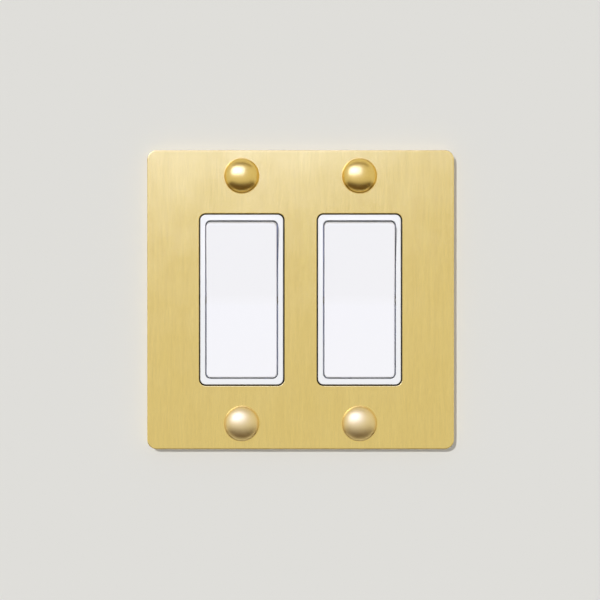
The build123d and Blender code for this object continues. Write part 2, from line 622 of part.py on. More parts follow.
save("wall_plate", wall_plate())
save("dome_screws", *[Pos(x, 0, z) * dome_screw() for x, z in four(GANG_X, PLATE_SCREW_Z)])
save("box_screws", *[Pos(x, 0, z) * box_screw() for x, z in four(GANG_X, BOX_SCREW_Z)])
save("box_screw_washers", *[Pos(x, 0, z) * washer() for x, z in four(GANG_X, BOX_SCREW_Z)])
for part, build in SWITCH.items():
    built = build()
    pieces = built if isinstance(built, list) else [built]
    for side, x in (("left", -GANG_X), ("right", GANG_X)):
        save(f"{side}_{part}", *[Pos(x, 0, 0) * piece for piece in pieces])
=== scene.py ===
"""Looks, light and camera for the two-gang rocker switch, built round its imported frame."""

import logging
import math
from dataclasses import dataclass, field
from enum import Enum

import bmesh
import bpy
import numpy as np
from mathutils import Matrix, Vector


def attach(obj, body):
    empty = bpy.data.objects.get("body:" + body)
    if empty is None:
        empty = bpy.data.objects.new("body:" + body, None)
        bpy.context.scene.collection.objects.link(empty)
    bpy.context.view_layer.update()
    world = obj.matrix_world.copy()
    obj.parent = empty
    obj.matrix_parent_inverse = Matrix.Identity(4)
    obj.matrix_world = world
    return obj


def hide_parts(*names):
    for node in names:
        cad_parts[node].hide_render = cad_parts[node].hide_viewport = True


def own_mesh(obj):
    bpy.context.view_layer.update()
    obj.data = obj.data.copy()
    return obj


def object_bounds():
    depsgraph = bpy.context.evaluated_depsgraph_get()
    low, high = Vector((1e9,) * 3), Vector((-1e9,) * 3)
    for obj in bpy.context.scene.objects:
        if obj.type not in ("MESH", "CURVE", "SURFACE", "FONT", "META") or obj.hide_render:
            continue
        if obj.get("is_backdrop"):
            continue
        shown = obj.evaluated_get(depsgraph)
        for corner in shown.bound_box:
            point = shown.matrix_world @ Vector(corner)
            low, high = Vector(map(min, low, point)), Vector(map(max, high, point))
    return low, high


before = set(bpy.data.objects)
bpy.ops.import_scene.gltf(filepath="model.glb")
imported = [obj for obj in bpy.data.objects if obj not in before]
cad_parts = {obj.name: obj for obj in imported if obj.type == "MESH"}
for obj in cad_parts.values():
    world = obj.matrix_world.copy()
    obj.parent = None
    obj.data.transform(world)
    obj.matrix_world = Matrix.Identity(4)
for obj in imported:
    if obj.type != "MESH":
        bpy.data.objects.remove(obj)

log = logging.getLogger("rocker_switch")

Colour = tuple[float, float, float]
Place = tuple[float, float, float]
Socket = bpy.types.NodeSocket

MM = 0.001

# Sizes of the part that several pieces share, in millimetres.
GANG_X = 23.02
PLATE_FRONT = -5.5
STRAP_FRONT = -1.3
BEZEL_HALF_W = 16.2
BEZEL_HALF_H = 33.2
THREAD_PITCH = 0.794

# Points nearer than the first distance, in metres, are one, and edges below the second vanish.
MERGE_DISTANCE = 1e-7
LOST_EDGE = 1e-8
SHARP_ANGLE = math.radians(38)


class Side(Enum):
    """The two switches, named as seen from the room."""

    LEFT = "left"
    RIGHT = "right"


class Grain(Enum):
    """Direction that brushing or rolling marks run in, as the stretch along X, Y and Z."""

    UPRIGHT = (1.0, 1.0, 0.07)
    ACROSS = (0.05, 1.0, 1.0)
    NONE = (1.0, 1.0, 1.0)


class Spread(Enum):
    """Where a patch of painted light or shade lies."""

    PINS = "pin_spread"
    GAP = "gap_spread"
    LOWER = "lower_spread"


def srgb(red: int, green: int, blue: int) -> Colour:
    """Scene-linear colour of an 8-bit display colour.

    Args:
        red: Red, 0 to 255.
        green: Green, 0 to 255.
        blue: Blue, 0 to 255.

    Returns:
        The three linear values.
    """
    level = np.array((red, green, blue)) / 255.0
    linear = np.where(level <= 0.04045, level / 12.92, ((level + 0.055) / 1.055) ** 2.4)
    return tuple(float(value) for value in linear)


def place_in_scene(name: str, data: bpy.types.ID) -> bpy.types.Object:
    """Puts a mesh, a light or a camera into the scene.

    Args:
        name: The object's name.
        data: What it shows.

    Returns:
        The object, at the origin.
    """
    piece = bpy.data.objects.new(name, data)
    bpy.context.scene.collection.objects.link(piece)
    return piece


class NodeBuilder:
    """Adds and joins shader nodes in one tree."""

    def __init__(self, tree: bpy.types.NodeTree) -> None:
        """Keeps the tree."""
        self.tree = tree

    def add(self, kind: str, **settings: object) -> bpy.types.Node:
        """Adds a node.

        Args:
            kind: The node's type, without its ShaderNode prefix.
            settings: Properties to set on it.

        Returns:
            The node.
        """
        node = self.tree.nodes.new(kind if kind.startswith("Node") else "ShaderNode" + kind)
        for name, value in settings.items():
            setattr(node, name, value)
        return node

    def join(self, start: Socket, end: Socket) -> None:
        """Joins an output to an input."""
        self.tree.links.new(start, end)

    def feed(self, socket: Socket, value: Socket | Colour | float) -> None:
        """Joins a value to an input, or sets the input to it.

        Args:
            socket: The input.
            value: An output, a colour or a number.
        """
        if isinstance(value, Socket):
            self.join(value, socket)
        elif isinstance(value, tuple):
            socket.default_value = (*value, 1.0)
        else:
            socket.default_value = value

    def math(self, operation: str, first: Socket | float, second: Socket | float = 0.0) -> Socket:
        """Adds a Math node.

        Args:
            operation: Its operation.
            first: An output or a number.
            second: An output or a number.

        Returns:
            Its output.
        """
        node = self.add("Math", operation=operation)
        self.feed(node.inputs[0], first)
        self.feed(node.inputs[1], second)
        return node.outputs[0]

    def weigh(self, *terms: tuple[Socket, float]) -> Socket:
        """Adds outputs up, each times its weight.

        Args:
            terms: Pairs of an output and a weight.

        Returns:
            The sum.
        """
        parts = [self.math("MULTIPLY", value, weight) for value, weight in terms]
        total = parts[0]
        for part in parts[1:]:
            total = self.math("ADD", total, part)
        return total

    def noise(self, vector: Socket, scale: Socket, detail: float, roughness: float) -> Socket:
        """Adds a 3-D noise.

        Args:
            vector: Where it is read.
            scale: Its fineness.
            detail: Octaves.
            roughness: Strength of the finer octaves.

        Returns:
            Its value, about 0 to 1.
        """
        node = self.add("TexNoise")
        self.join(vector, node.inputs["Vector"])
        self.join(scale, node.inputs["Scale"])
        node.inputs["Detail"].default_value = detail
        node.inputs["Roughness"].default_value = roughness
        return node.outputs["Fac"]

    def remap(self, value: Socket, source: tuple[float, float], target: tuple[float, float]) -> Socket:
        """Maps one range of values onto another, clamped.

        Args:
            value: The value.
            source: Its range.
            target: The range that it becomes.

        Returns:
            The mapped value.
        """
        node = self.add("MapRange")
        self.join(value, node.inputs["Value"])
        for name, number in zip(("From Min", "From Max", "To Min", "To Max"), source + target):
            node.inputs[name].default_value = number
        return node.outputs["Result"]

    def tint(self, colour: Socket | Colour, other: Colour, share: Socket) -> Socket:
        """Mixes another colour in.

        Args:
            colour: The first colour, an output or three numbers.
            other: The other colour.
            share: The other colour's share, 0 to 1.

        Returns:
            The mixed colour.
        """
        node = self.add("Mix", data_type="RGBA")
        self.feed(node.inputs["A"], colour)
        self.feed(node.inputs["B"], other)
        self.join(share, node.inputs["Factor"])
        return node.outputs["Result"]


class EffectGroup:
    """A shader node group with named inputs and outputs, built once."""

    def __init__(self, name: str, inputs: dict[str, float | None], outputs: tuple[str, ...]) -> None:
        """Makes the group's sockets.

        Args:
            name: The group's name.
            inputs: Socket names with a default number, or None for a vector.
            outputs: Names of its outputs, which are all numbers.
        """
        self.tree = bpy.data.node_groups.new(name, "ShaderNodeTree")
        for label, default in inputs.items():
            kind = "NodeSocketVector" if default is None else "NodeSocketFloat"
            socket = self.tree.interface.new_socket(name=label, in_out="INPUT", socket_type=kind)
            if default is not None:
                socket.default_value = default
        for label in outputs:
            self.tree.interface.new_socket(name=label, in_out="OUTPUT", socket_type="NodeSocketFloat")
        self.make = NodeBuilder(self.tree)
        self.inputs = self.make.add("NodeGroupInput").outputs
        self.outputs = self.make.add("NodeGroupOutput").inputs

    def noise(self, scale: str, share: float, detail: float = 1.0, roughness: float = 0.55) -> Socket:
        """Adds a noise at the group's vector whose scale is a share of one of its inputs.

        Args:
            scale: The input's name.
            share: The share.
            detail: Octaves.
            roughness: Strength of the finer octaves.

        Returns:
            Its value, about 0 to 1.
        """
        size = self.make.math("MULTIPLY", self.inputs[scale], share)
        return self.make.noise(self.inputs["Vector"], size, detail, roughness)

    def place(self, make: NodeBuilder, vector: Socket, **values: float) -> bpy.types.Node:
        """Puts the group into a material.

        Args:
            make: Builder of the material's tree.
            vector: Coordinates for the group.
            values: Numbers for its other inputs, by their names in small letters.

        Returns:
            The group node.
        """
        node = make.add("Group", node_tree=self.tree)
        make.join(vector, node.inputs["Vector"])
        for name, value in values.items():
            node.inputs[name.capitalize()].default_value = value
        return node


class SpreadGroup(EffectGroup):
    """A group that gives a factor from where a point lies."""

    def __init__(self, spread: Spread) -> None:
        """Makes the sockets and parts the point's place into X, Y and Z.

        Args:
            spread: The kind of spread.
        """
        super().__init__(spread.value, {"Vector": None, "Amount": 1.0}, ("Factor",))
        parts = self.make.add("SeparateXYZ")
        self.make.join(self.inputs["Vector"], parts.inputs["Vector"])
        self.x, self.y, self.z = parts.outputs

    def past(self, value: Socket, half: float) -> Socket:
        """Returns how far a value's size passes half a width given in millimetres; inside it is negative."""
        return self.make.math("SUBTRACT", self.make.math("ABSOLUTE", value), half * MM)

    def fade(self, value: Socket, full: float, none: float) -> Socket:
        """Returns 1 where a value is at or past one place, down to 0 at the other, both in millimetres."""
        return self.make.remap(value, (full * MM, none * MM), (1.0, 0.0))

    def give(self, *factors: Socket) -> "SpreadGroup":
        """Gives the product of some factors and the amount.

        Args:
            factors: The factors.

        Returns:
            This group.
        """
        product = self.inputs["Amount"]
        for factor in factors:
            product = self.make.math("MULTIPLY", product, factor)
        self.make.join(product, self.outputs["Factor"])
        return self


class Effects:
    """The effects that several finishes share."""

    def __init__(self) -> None:
        """Builds every group."""
        self.brushing = self.build_brushing()
        self.moulding = self.build_moulding()
        self.handling = self.build_handling()
        self.spreads = {Spread.PINS: self.build_pin_spread(), Spread.GAP: self.build_gap_spread(),
                        Spread.LOWER: self.build_lower_spread()}

    @staticmethod
    def build_brushing() -> EffectGroup:
        """Fine parallel lines with wider, fainter bands, and a scratch wherever a noise of its own peaks.

        Returns:
            A group whose vector is already stretched along the lines.
        """
        group = EffectGroup("brushed_lines", {"Vector": None, "Fineness": 9000.0, "Scratches": 0.3},
                            ("Height", "Tone"))
        medium_share, band_share, scratch_share = 0.22, 0.05, 0.45
        scratch_peak, scratch_darkness = (0.66, 0.76), 0.3
        make = group.make
        fine = group.noise("Fineness", 1.0, detail=3.0, roughness=0.6)
        medium = group.noise("Fineness", medium_share, detail=2.0)
        band = group.noise("Fineness", band_share)
        scratch = make.remap(group.noise("Fineness", scratch_share), scratch_peak, (0.0, 1.0))
        scratch = make.math("MULTIPLY", scratch, group.inputs["Scratches"])
        lines = make.weigh((fine, 0.6), (medium, 0.4))
        tone = make.weigh((lines, 0.85), (band, 0.15), (scratch, -scratch_darkness))
        make.join(make.math("SUBTRACT", lines, scratch), group.outputs["Height"])
        make.join(tone, group.outputs["Tone"])
        return group

    @staticmethod
    def build_moulding() -> EffectGroup:
        """Spark-eroded texture of moulded plastic, over the slow waves that cooling leaves.

        Returns:
            The group.
        """
        group = EffectGroup("moulded_skin", {"Vector": None, "Fineness": 9000.0, "Waviness": 0.3},
                            ("Height", "Tone"))
        wave_share = 0.02
        make = group.make
        grain = group.noise("Fineness", 1.0, detail=3.0, roughness=0.5)
        wave = make.math("MULTIPLY", group.noise("Fineness", wave_share), group.inputs["Waviness"])
        make.join(make.math("ADD", grain, wave), group.outputs["Height"])
        make.join(grain, group.outputs["Tone"])
        return group

    @staticmethod
    def build_handling() -> EffectGroup:
        """Faint smears and dust that change the gloss and, a little, the tone.

        Returns:
            The group.
        """
        group = EffectGroup("handling_marks", {"Vector": None, "Smearing": 90.0, "Dust": 0.2},
                            ("Smear", "Dust"))
        smear_range, speck_share, speck_peak = (0.35, 0.7), 40.0, (0.68, 0.78)
        make = group.make
        smear = group.noise("Smearing", 1.0, detail=5.0, roughness=0.6)
        make.join(make.remap(smear, smear_range, (0.0, 1.0)), group.outputs["Smear"])
        speck = make.remap(group.noise("Smearing", speck_share), speck_peak, (0.0, 1.0))
        make.join(make.math("MULTIPLY", speck, group.inputs["Dust"]), group.outputs["Dust"])
        return group

    @staticmethod
    def build_pin_spread() -> SpreadGroup:
        """Painted shade round the rocker's pins and their sockets, deep in the gap at mid height, where the
        gap's walls shade them.

        Returns:
            The group. Heights and depths are in millimetres, and the pins' radius is 1.5.
        """
        group = SpreadGroup(Spread.PINS)
        near = group.fade(group.past(group.z, 0.0), full=1.5, none=2.2)
        deep = group.fade(group.y, full=-4.9, none=-5.4)
        return group.give(near, deep)

    @staticmethod
    def build_gap_spread() -> SpreadGroup:
        """Painted shade on the straps' front, in a band along the gap that the plate leaves round each
        bezel, where the gap is shaded.

        Returns:
            The group.
        """
        group = SpreadGroup(Spread.GAP)
        middle = 0.2
        across = group.past(group.past(group.x, GANG_X), BEZEL_HALF_W + middle)
        up = group.past(group.z, BEZEL_HALF_H + middle)
        outside = group.past(group.make.math("MAXIMUM", across, up), 0.0)
        band = group.fade(outside, full=0.6, none=1.2)
        front = group.fade(group.y, full=STRAP_FRONT + 0.1, none=STRAP_FRONT + 0.3)
        return group.give(band, front)

    @staticmethod
    def build_lower_spread() -> SpreadGroup:
        """Below mid height, setting in slowly; it carries the painted light of the lower domes.

        Returns:
            The group.
        """
        group = SpreadGroup(Spread.LOWER)
        return group.give(group.fade(group.z, full=-10.0, none=10.0))


@dataclass(frozen=True)
class PaintedLight:
    """A colour that stands in for light or shade on a finish in one place, and may dull the finish there."""

    spread: Spread
    colour: Colour
    amount: float = 1.0
    dulling: float = 0.0


@dataclass(frozen=True)
class Finish:
    """A surface finish: a Principled shader whose colour, gloss and relief vary over the surface.

    The colour runs from low to high with the tone of the surface's marks, and the relief is the depth of
    the marks in millimetres.
    """

    name: str
    low: Colour
    high: Colour
    roughness: tuple[float, float]
    fineness: float
    relief: float
    metallic: float = 0.0
    grain: Grain = Grain.NONE
    brushed: bool = False
    scratches: float = 0.3
    waviness: float = 0.3
    dust: float = 0.0
    dust_colour: Colour = (0.55, 0.52, 0.47)
    tone_range: tuple[float, float] = (0.3, 0.7)
    coat: float = 0.0
    coat_roughness: float = 0.1
    painted_lights: tuple[PaintedLight, ...] = ()

    def material(self, effects: Effects) -> bpy.types.Material:
        """Builds the material.

        Args:
            effects: The shared groups.

        Returns:
            The material.
        """
        material = bpy.data.materials.new(self.name)
        material.use_nodes = True
        material.node_tree.nodes.clear()
        make = NodeBuilder(material.node_tree)
        shader = make.add("BsdfPrincipled")
        shader.inputs["Metallic"].default_value = self.metallic
        shader.inputs["Coat Weight"].default_value = self.coat
        shader.inputs["Coat Roughness"].default_value = self.coat_roughness
        make.join(shader.outputs["BSDF"], make.add("OutputMaterial").inputs["Surface"])
        place = make.add("TexCoord").outputs["Object"]
        skin = self.skin(make, place, effects)
        colour, dullness = self.paint(make, place, effects, skin)
        make.join(colour, shader.inputs["Base Color"])
        make.join(dullness, shader.inputs["Roughness"])
        bump = make.add("Bump")
        bump.inputs["Strength"].default_value = 1.0
        bump.inputs["Distance"].default_value = self.relief * MM
        make.join(skin.outputs["Height"], bump.inputs["Height"])
        make.join(bump.outputs["Normal"], shader.inputs["Normal"])
        return material

    def skin(self, make: NodeBuilder, place: Socket, effects: Effects) -> bpy.types.Node:
        """Places the brushed lines or the moulded skin, stretched along the grain.

        Args:
            make: Builder of the material's tree.
            place: Object coordinates.
            effects: The shared groups.

        Returns:
            A node with the outputs Height and Tone.
        """
        stretch = make.add("Mapping")
        stretch.inputs["Scale"].default_value = self.grain.value
        make.join(place, stretch.inputs["Vector"])
        along = stretch.outputs[0]
        if self.brushed:
            return effects.brushing.place(make, along, fineness=self.fineness, scratches=self.scratches)
        return effects.moulding.place(make, along, fineness=self.fineness, waviness=self.waviness)

    def paint(self, make: NodeBuilder, place: Socket, effects: Effects,
              skin: bpy.types.Node) -> tuple[Socket, Socket]:
        """Makes the colour and the roughness, with dust, smears, and painted light and shade.

        Args:
            make: Builder of the material's tree.
            place: Object coordinates.
            effects: The shared groups.
            skin: The node with the tone of the surface's marks.

        Returns:
            The colour and the roughness.
        """
        marks = effects.handling.place(make, place, dust=self.dust)
        tone = make.remap(skin.outputs["Tone"], self.tone_range, (0.0, 1.0))
        colour = make.tint(self.low, self.high, tone)
        colour = make.tint(colour, self.dust_colour, marks.outputs["Dust"])
        dullness = make.remap(marks.outputs["Smear"], (0.0, 1.0), self.roughness)
        # Painted light and shade: each patch's colour is laid over the finish where its spread says.
        for painted_light in self.painted_lights:
            laid = effects.spreads[painted_light.spread].place(make, place, amount=painted_light.amount)
            colour = make.tint(colour, painted_light.colour, laid.outputs["Factor"])
            if painted_light.dulling:
                added = make.math("MULTIPLY", laid.outputs["Factor"], painted_light.dulling)
                dullness = make.math("ADD", dullness, added)
        return colour, dullness


# Painted shade: grey-brown laid on the white plastic round the rocker's pins deep in the gap, where shade
# falls.
PIN_PAINTED_SHADE = PaintedLight(Spread.PINS, (0.30, 0.27, 0.23))
# Painted shade: near-black laid on the straps' front in the gap round each bezel, so that the gap reads as a
# dark shaded line.
GAP_PAINTED_SHADE = PaintedLight(Spread.GAP, (0.012, 0.012, 0.012))
# Painted light: a paler colour on the lower pair of domes stands in for the brighter reflections that they
# show; the dulling makes them a little rougher.
LOWER_PAINTED_LIGHT = PaintedLight(Spread.LOWER, (1.0, 0.80, 0.38), amount=0.8, dulling=0.1875)

BRUSHED_BRASS = Finish("brushed_brass", (0.855, 0.640, 0.212), (0.975, 0.757, 0.260), (0.19, 0.23),
                       fineness=4200.0, relief=0.006, metallic=1.0, grain=Grain.UPRIGHT, brushed=True,
                       scratches=0.25)
DOME_BRASS = Finish("dome_brass", (0.87, 0.60, 0.16), (0.94, 0.69, 0.20), (0.28, 0.34),
                    fineness=3000.0, relief=0.006, metallic=1.0, waviness=1.0, painted_lights=(LOWER_PAINTED_LIGHT,))
WHITE_ROCKER = Finish("white_rocker", (0.875, 0.872, 0.90), (0.89, 0.887, 0.915), (0.30, 0.33),
                      fineness=7000.0, relief=0.003, waviness=0.8, painted_lights=(PIN_PAINTED_SHADE,))
WHITE_BEZEL = Finish("white_bezel", (0.830, 0.837, 0.843), (0.845, 0.852, 0.858), (0.36, 0.40),
                     fineness=7000.0, relief=0.004, waviness=0.6, painted_lights=(PIN_PAINTED_SHADE,))
ZINC_STEEL = Finish("zinc_steel", (0.50, 0.52, 0.54), (0.62, 0.63, 0.62), (0.28, 0.45),
                    fineness=2500.0, relief=0.006, metallic=1.0, grain=Grain.UPRIGHT, brushed=True,
                    scratches=0.5, dust=0.1, painted_lights=(GAP_PAINTED_SHADE,))
SCREW_STEEL = Finish("screw_steel", (0.55, 0.55, 0.53), (0.66, 0.65, 0.62), (0.25, 0.40),
                     fineness=5000.0, relief=0.004, metallic=1.0)
SPRING_STEEL = Finish("spring_steel", (0.42, 0.43, 0.45), (0.52, 0.53, 0.55), (0.22, 0.32),
                      fineness=8000.0, relief=0.002, metallic=1.0)
CONTACT_BRASS = Finish("contact_brass", (0.74, 0.52, 0.22), (0.84, 0.62, 0.29), (0.30, 0.45),
                       fineness=3000.0, relief=0.005, metallic=1.0, grain=Grain.ACROSS, brushed=True,
                       scratches=0.4)
CONTACT_SILVER = Finish("contact_silver", (0.80, 0.79, 0.76), (0.88, 0.87, 0.85), (0.22, 0.34),
                        fineness=7000.0, relief=0.003, metallic=1.0)
TERMINAL_BRASS = Finish("terminal_brass", (0.78, 0.56, 0.22), (0.90, 0.68, 0.31), (0.20, 0.34),
                        fineness=5000.0, relief=0.004, metallic=1.0)
GREEN_DYE = Finish("green_dye", (0.020, 0.20, 0.06), (0.045, 0.30, 0.10), (0.25, 0.38),
                   fineness=5000.0, relief=0.004, metallic=0.6, coat=0.5)
HOUSING_PLASTIC = Finish("housing_plastic", (0.060, 0.061, 0.065), (0.085, 0.086, 0.090), (0.42, 0.58),
                         fineness=5200.0, relief=0.020, waviness=0.5, dust=0.25)
NYLON = Finish("nylon", (0.76, 0.73, 0.64), (0.82, 0.79, 0.71), (0.38, 0.50), fineness=6000.0, relief=0.004)
RED_FIBRE = Finish("red_fibre", (0.27, 0.045, 0.025), (0.40, 0.085, 0.045), (0.60, 0.80),
                   fineness=3500.0, relief=0.02, dust=0.1)


def surface_mesh(name: str, patches: list[np.ndarray]) -> bpy.types.Object:
    """Makes one smooth-shaded object from grids of points.

    Each patch is a grid P[i, j]: neighbouring rows and columns span four-sided faces. The last column
    repeats the first on a closed form, and a row may shrink to a point; both are then merged.

    Args:
        name: The object's name.
        patches: Arrays of shape (rows, columns, 3), in millimetres.

    Returns:
        The object, at the origin, with its place in its mesh.
    """
    points, faces, start = [], [], 0
    for patch in patches:
        rows, columns, _ = patch.shape
        points.append(patch.reshape(-1, 3))
        index = start + np.arange(rows * columns).reshape(rows, columns)
        corners = (index[:-1, :-1], index[:-1, 1:], index[1:, 1:], index[1:, :-1])
        faces.append(np.stack(corners, axis=-1).reshape(-1, 4))
        start += rows * columns
    mesh = bpy.data.meshes.new(name)
    mesh.from_pydata((np.concatenate(points) * MM).tolist(), [], np.concatenate(faces).tolist())
    form = bmesh.new()
    form.from_mesh(mesh)
    bmesh.ops.remove_doubles(form, verts=form.verts, dist=MERGE_DISTANCE)
    bmesh.ops.dissolve_degenerate(form, edges=form.edges, dist=LOST_EDGE)
    bmesh.ops.recalc_face_normals(form, faces=form.faces)
    form.to_mesh(mesh)
    form.free()
    mesh.shade_smooth()
    mesh.set_sharp_from_angle(angle=SHARP_ANGLE)
    return place_in_scene(name, mesh)


@dataclass(frozen=True)
class Thread:
    """A single-start right-hand thread with rounded roots, fading in and out at its ends.

    Its depth is a share of its pitch, and each fade is a number of turns long.
    """

    major_r: float
    start: float
    end: float
    pitch: float = THREAD_PITCH
    depth_share: float = 0.6
    root_power: float = 0.8
    fade_turns: float = 0.8

    def radius(self, depth: np.ndarray, angle: np.ndarray) -> np.ndarray:
        """Radius of the thread's surface.

        The radius is the crest radius less the depth times a power of a raised cosine of the phase, which
        is the travel along the axis in pitches plus the turn from X to Z in revolutions.

        Args:
            depth: Positions along the axis.
            angle: Angles round it.

        Returns:
            The radius at each pair, of the broadcast shape.
        """
        phase = depth / self.pitch + angle / (2 * np.pi)
        cut = (0.5 + 0.5 * np.cos(2 * np.pi * phase)) ** self.root_power
        ends = np.minimum(depth - self.start, self.end - depth) / (self.fade_turns * self.pitch)
        return self.major_r - self.depth_share * self.pitch * cut * np.clip(ends, 0.0, 1.0)


@dataclass(frozen=True)
class TurnedScrew:
    """A screw turned about Y: its outline from the tip of the head to the end of the shank."""

    outline: np.ndarray
    thread: Thread
    segments: int
    rows_per_turn: int = 9

    def grid(self, turn: float = 0.0) -> np.ndarray:
        """Points of the screw's surface.

        A point is (r cos a, y, r sin a), where r is the outline's radius at y, or the thread's radius
        where the outline runs along the thread.

        Args:
            turn: Angle that the screw is turned by, in radians.

        Returns:
            A closed grid of shape (rows, segments + 1, 3).
        """
        thread = self.thread
        angle = np.linspace(0.0, 2 * np.pi, self.segments + 1)[None, :]
        head = self.outline[self.outline[:, 1] <= thread.start]
        tail = self.outline[self.outline[:, 1] > thread.end]
        rows = int((thread.end - thread.start) / thread.pitch * self.rows_per_turn)
        along = np.linspace(thread.start, thread.end, rows)[:, None]
        radius = np.concatenate((np.broadcast_to(head[:, :1], (len(head), angle.size)),
                                 thread.radius(along, angle + turn),
                                 np.broadcast_to(tail[:, :1], (len(tail), angle.size))))
        depth = np.concatenate((head[:, 1], along[:, 0], tail[:, 1]))[:, None]
        return np.stack((radius * np.cos(angle), np.broadcast_to(depth, radius.shape),
                         radius * np.sin(angle)), axis=-1)


@dataclass(frozen=True)
class SlottedHead:
    """A slotted head about Y, seated at y = 0 and standing towards -Y, with its slot along Z.

    It is round, or with a corner radius a hexagon whose corners are turned down to the radius.
    """

    height: float
    radius: float
    slot_w: float = 1.0
    slot_depth: float = 0.9
    edge: float = 0.4
    corner_r: float = 0.0
    columns: int = 36
    edge_rows: int = 6

    def half_width(self, place: np.ndarray, margin: float) -> np.ndarray:
        """Half width of the head along Z.

        A round head has the chord of its circle, the square root of radius squared less x squared. A
        hexagon also keeps to its corner radius less x over the square root of three.

        Args:
            place: Positions along X.
            margin: Distance that the outline is drawn in by.

        Returns:
            The half width at each position.
        """
        radius = self.radius - margin
        width = np.sqrt(radius ** 2 - np.minimum(np.abs(place), radius) ** 2)
        if self.corner_r:
            flank = self.corner_r - (2 * margin + np.abs(place)) / math.sqrt(3)
            width = np.minimum(width, np.maximum(flank, 0.0))
        return width

    def sections(self) -> tuple[np.ndarray, np.ndarray]:
        """Where the cross-sections stand along X, and the height of the top of each.

        Inside the slot the top drops to the slot's floor. Near the ends it drops along a quarter circle
        with the edge's radius.

        Returns:
            The positions and the tops.
        """
        reach = self.corner_r * math.sqrt(3) / 2 if self.corner_r else self.radius
        half = self.slot_w / 2
        side = reach * np.cos(np.linspace(0.0, np.arccos(half / reach), self.columns))
        place = np.concatenate(([-reach], -side, [-half, half], side[::-1], [reach]))
        flat = np.zeros(self.columns + 1)
        low = np.concatenate((flat, [1.0, 1.0], flat))
        return place, low * self.slot_depth - self.height

    def grid(self) -> np.ndarray:
        """Points of the head: cross-sections carried along X, each a rectangle with rounded shoulders.

        The outermost sections shrink to a line, which closes the head.

        Returns:
            A grid of shape (sections, points, 3).
        """
        place, top = self.sections()
        chord, inner = self.half_width(place, 0.0), self.half_width(place, self.edge)
        chord[[0, -1]] = inner[[0, -1]] = 0.0
        shoulder = np.minimum(top + self.edge, 0.0)
        past = np.clip((np.abs(place) - place[-1] + self.edge) / self.edge, 0.0, 1.0)
        top = top + self.edge * (1.0 - np.sqrt(1.0 - past ** 2))
        turn = np.linspace(0.0, np.pi / 2, self.edge_rows)[None, :]
        across = inner[:, None] + (chord - inner)[:, None] * np.sin(turn)
        depth = top[:, None] + (shoulder - top)[:, None] * (1.0 - np.cos(turn))
        floor = np.zeros((place.size, 1))
        ring_y = np.concatenate((depth, floor, floor, depth[:, ::-1], depth[:, :1]), axis=1)
        ring_z = np.concatenate((across, chord[:, None], -chord[:, None], -across[:, ::-1],
                                 across[:, :1]), axis=1)
        ring_x = np.broadcast_to(place[:, None], ring_z.shape)
        return np.stack((ring_x, ring_y, ring_z), axis=-1)


@dataclass(frozen=True)
class MachineScrew:
    """A slotted screw with a threaded shank, about Y with its head towards -Y and its seat at y = 0.

    Its neck has the shank's radius where no radius is given.
    """

    head: SlottedHead
    shank_r: float
    length: float
    neck_r: float = 0.0
    neck: float = 0.15
    neck_step: float = 0.1
    sunk: float = 0.2
    tip_chamfer: float = 0.4
    plain_tip: float = 0.35
    segments: int = 48

    def grids(self) -> list[np.ndarray]:
        """Makes the head, and the shank, which starts a little inside the head.

        Returns:
            Their grids.
        """
        neck_r = self.neck_r or self.shank_r
        outline = np.array(((0.0, -self.sunk), (neck_r, -self.sunk), (neck_r, self.neck - self.neck_step),
                            (self.shank_r, self.neck), (self.shank_r - self.tip_chamfer, self.length),
                            (0.0, self.length)))
        thread = Thread(self.shank_r, self.neck, self.length - self.plain_tip)
        return [self.head.grid(), TurnedScrew(outline, thread, self.segments).grid()]


class PaintShop:
    """Builds each finish's material once."""

    def __init__(self) -> None:
        """Builds the shared effects."""
        self.effects = Effects()
        self.made: dict[str, bpy.types.Material] = {}

    def get(self, finish: Finish) -> bpy.types.Material:
        """Gives the material of a finish.

        Args:
            finish: The finish.

        Returns:
            Its material, built at its first use.
        """
        if finish.name not in self.made:
            self.made[finish.name] = finish.material(self.effects)
        return self.made[finish.name]


@dataclass
class Assembly:
    """What every sub-assembly shares: the finishes, and how its pieces come into the frame."""

    paint: PaintShop

    def dress(self, node: str, finish: Finish) -> None:
        """Gives a carried-over CAD node its finish.

        Args:
            node: The node's name.
            finish: Its finish.
        """
        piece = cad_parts[node]
        piece.data.materials.clear()
        piece.data.materials.append(self.paint.get(finish))
        log.info("dressed %s in %s", node, finish.name)

    def fit(self, piece: bpy.types.Object, finish: Finish, body: str, slot: str, *nodes: str) -> None:
        """Paints a new piece, hides the nodes that it stands for and lets it ride.

        Args:
            piece: The piece.
            finish: Its finish.
            body: The body that it rides on.
            slot: The record's material slot; not used.
            nodes: Nodes that it replaces.
        """
        piece.data.materials.append(self.paint.get(finish))
        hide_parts(*nodes)
        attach(piece, body)
        log.info("built %s on %s, %d faces", piece.name, body, len(piece.data.polygons))


